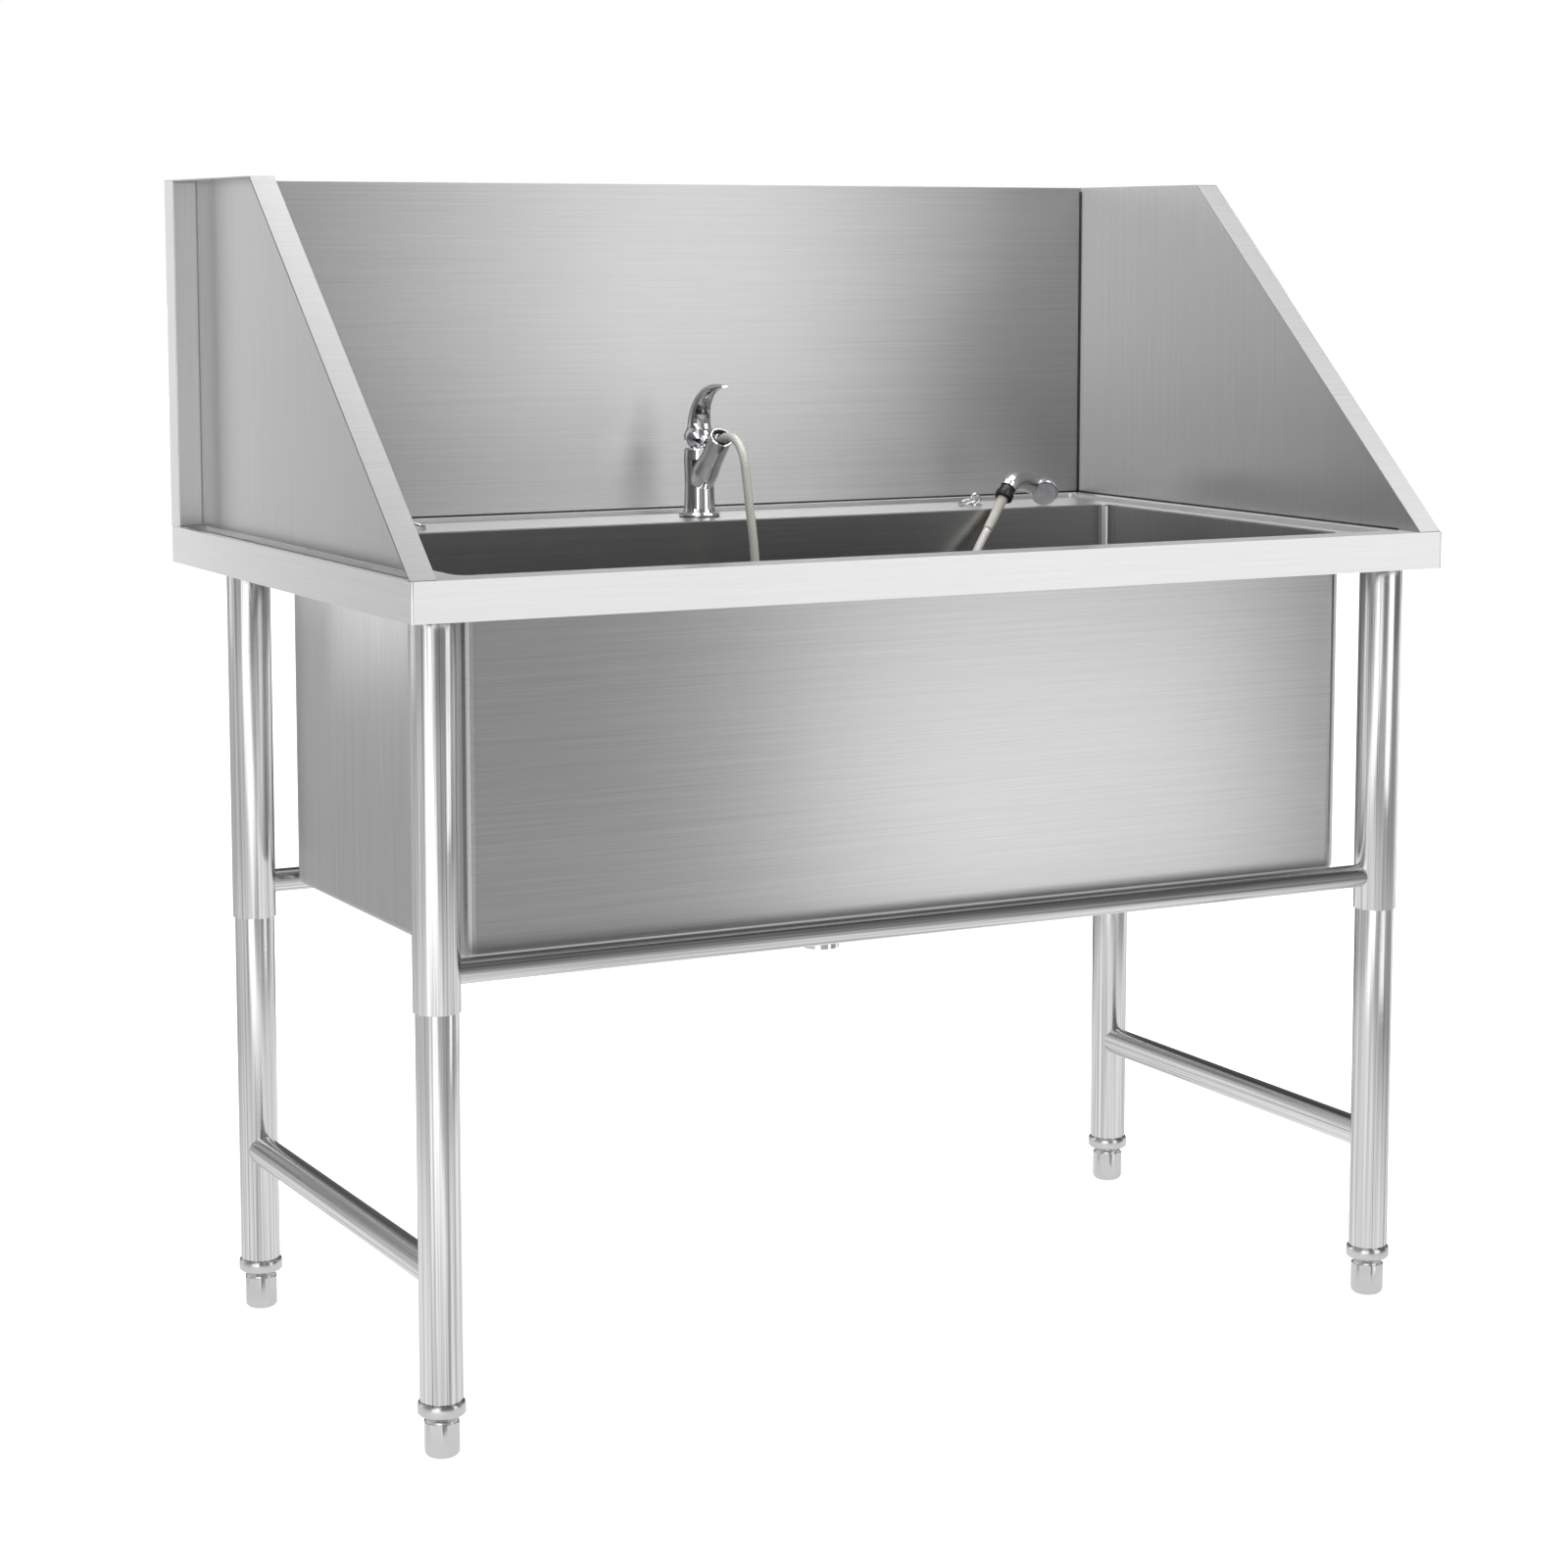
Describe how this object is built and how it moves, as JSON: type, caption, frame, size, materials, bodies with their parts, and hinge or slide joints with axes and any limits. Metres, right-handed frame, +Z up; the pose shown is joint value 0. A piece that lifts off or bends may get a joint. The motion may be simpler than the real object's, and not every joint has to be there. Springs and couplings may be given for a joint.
{
  "type": "pet bathtub",
  "caption": "Free-standing steel grooming tub: deep bowl, back and side splash panels, tube legs with levelling feet, lever mixer and pull-out spray.",
  "frame": {"origin": "on the floor, under the middle of the deck", "axes": "+Z up, -Y towards the person washing, +X to that person's right"},
  "size_m": [1.2, 0.72, 1.24],
  "materials": {
    "sheet_steel": "bright folded sheet, fine horizontal grain",
    "bowl_steel": "brushed, horizontal grain",
    "back_panel_steel": "brushed, horizontal grain",
    "side_panel_steel": "brushed, vertical grain",
    "tube_steel": "polished tube",
    "cast_steel": "polished turned steel",
    "plate_steel": "satin",
    "zinc_fixings": "zinc plated",
    "chrome": "bright chrome plate",
    "brass": "machined",
    "black_rubber": "matt",
    "black_plastic": "satin",
    "grey_plastic": "satin",
    "hose_braid": "fine braid under clear sleeve",
    "hose_sleeve": "milky, slightly clear"
  },
  "bodies": {
    "tub": {"deck_rim": "sheet_steel", "bowl": "bowl_steel", "back_splash": "back_panel_steel", "left_splash": "side_panel_steel", "right_splash": "side_panel_steel", "splash_studs": "zinc_fixings", "leg_plates": "plate_steel", "leg_bolts": "zinc_fixings", "upper_leg_front_left": "tube_steel", "upper_leg_front_right": "tube_steel", "upper_leg_rear_left": "tube_steel", "upper_leg_rear_right": "tube_steel", "lower_leg_front_left": "tube_steel", "lower_leg_front_right": "tube_steel", "lower_leg_rear_left": "tube_steel", "lower_leg_rear_right": "tube_steel", "foot_insert_front_left": "cast_steel", "foot_insert_front_right": "cast_steel", "foot_insert_rear_left": "cast_steel", "foot_insert_rear_right": "cast_steel", "front_brace": "tube_steel", "rear_brace": "tube_steel", "left_brace": "tube_steel", "right_brace": "tube_steel", "drain_flange": "plate_steel", "drain_gasket": "black_rubber", "drain_locknut": "plate_steel", "drain_slip_nut": "chrome", "drain_tailpiece": "chrome", "mixer_base_ring": "chrome", "mixer_gasket": "black_rubber", "mixer_body": "chrome", "outlet_liner": "black_plastic", "cartridge": "grey_plastic", "cartridge_nut": "chrome", "mixer_shank": "brass", "shank_washer": "zinc_fixings", "shank_nut": "brass", "hot_inlet": "brass", "cold_inlet": "brass", "left_tether_eye": "chrome", "right_tether_eye": "chrome", "tether_nuts": "zinc_fixings", "shower_hose": "hose_braid"},
    "foot_front_left": {"foot_front_left": "cast_steel"},
    "foot_front_right": {"foot_front_right": "cast_steel"},
    "foot_rear_left": {"foot_rear_left": "cast_steel"},
    "foot_rear_right": {"foot_rear_right": "cast_steel"},
    "strainer": {"strainer_basket": "plate_steel"},
    "mixer_hub": {"lever_ball": "chrome", "lever_pin": "zinc_fixings"},
    "mixer_lever": {"mixer_lever": "chrome"},
    "spray_head": {"hose_sleeve": "hose_sleeve", "spray_socket": "black_plastic", "spray_body": "chrome", "spray_face": "grey_plastic"},
    "left_ring": {"left_tether_ring": "chrome"},
    "right_ring": {"right_tether_ring": "chrome"}
  },
  "joints": [
    {"name": "foot_front_left_thread", "type": "slide", "parent": "tub", "child": "foot_front_left", "axis": [0, 0, -1], "range_m": [-0.004, 0.02]},
    {"name": "foot_front_right_thread", "type": "slide", "parent": "tub", "child": "foot_front_right", "axis": [0, 0, -1], "range_m": [-0.004, 0.02]},
    {"name": "foot_rear_left_thread", "type": "slide", "parent": "tub", "child": "foot_rear_left", "axis": [0, 0, -1], "range_m": [-0.004, 0.02]},
    {"name": "foot_rear_right_thread", "type": "slide", "parent": "tub", "child": "foot_rear_right", "axis": [0, 0, -1], "range_m": [-0.004, 0.02]},
    {"name": "strainer_lift", "type": "slide", "parent": "tub", "child": "strainer", "axis": [0, 0, 1], "range_m": [0, 0.1]},
    {"name": "mixer_turn", "type": "hinge", "parent": "tub", "child": "mixer_hub", "pos_m": [0, 0.25, 0.948], "axis": [0, 0, 1], "range_deg": [-45, 45]},
    {"name": "lever_tilt", "type": "hinge", "parent": "mixer_hub", "child": "mixer_lever", "pos_m": [0, 0.25, 0.948], "axis": [-1, 0, 0], "range_deg": [0, 24]},
    {"name": "spray_lift", "type": "slide", "parent": "tub", "child": "spray_head", "axis": [0, 0, 1], "range_m": [0, 0.12]},
    {"name": "left_ring_swing", "type": "hinge", "parent": "tub", "child": "left_ring", "pos_m": [-0.368, 0.24, 0.864], "axis": [0, -1, 0], "range_deg": [0, 145]},
    {"name": "right_ring_swing", "type": "hinge", "parent": "tub", "child": "right_ring", "pos_m": [0.368, 0.24, 0.864], "axis": [0, 1, 0], "range_deg": [0, 145]}
  ]
}
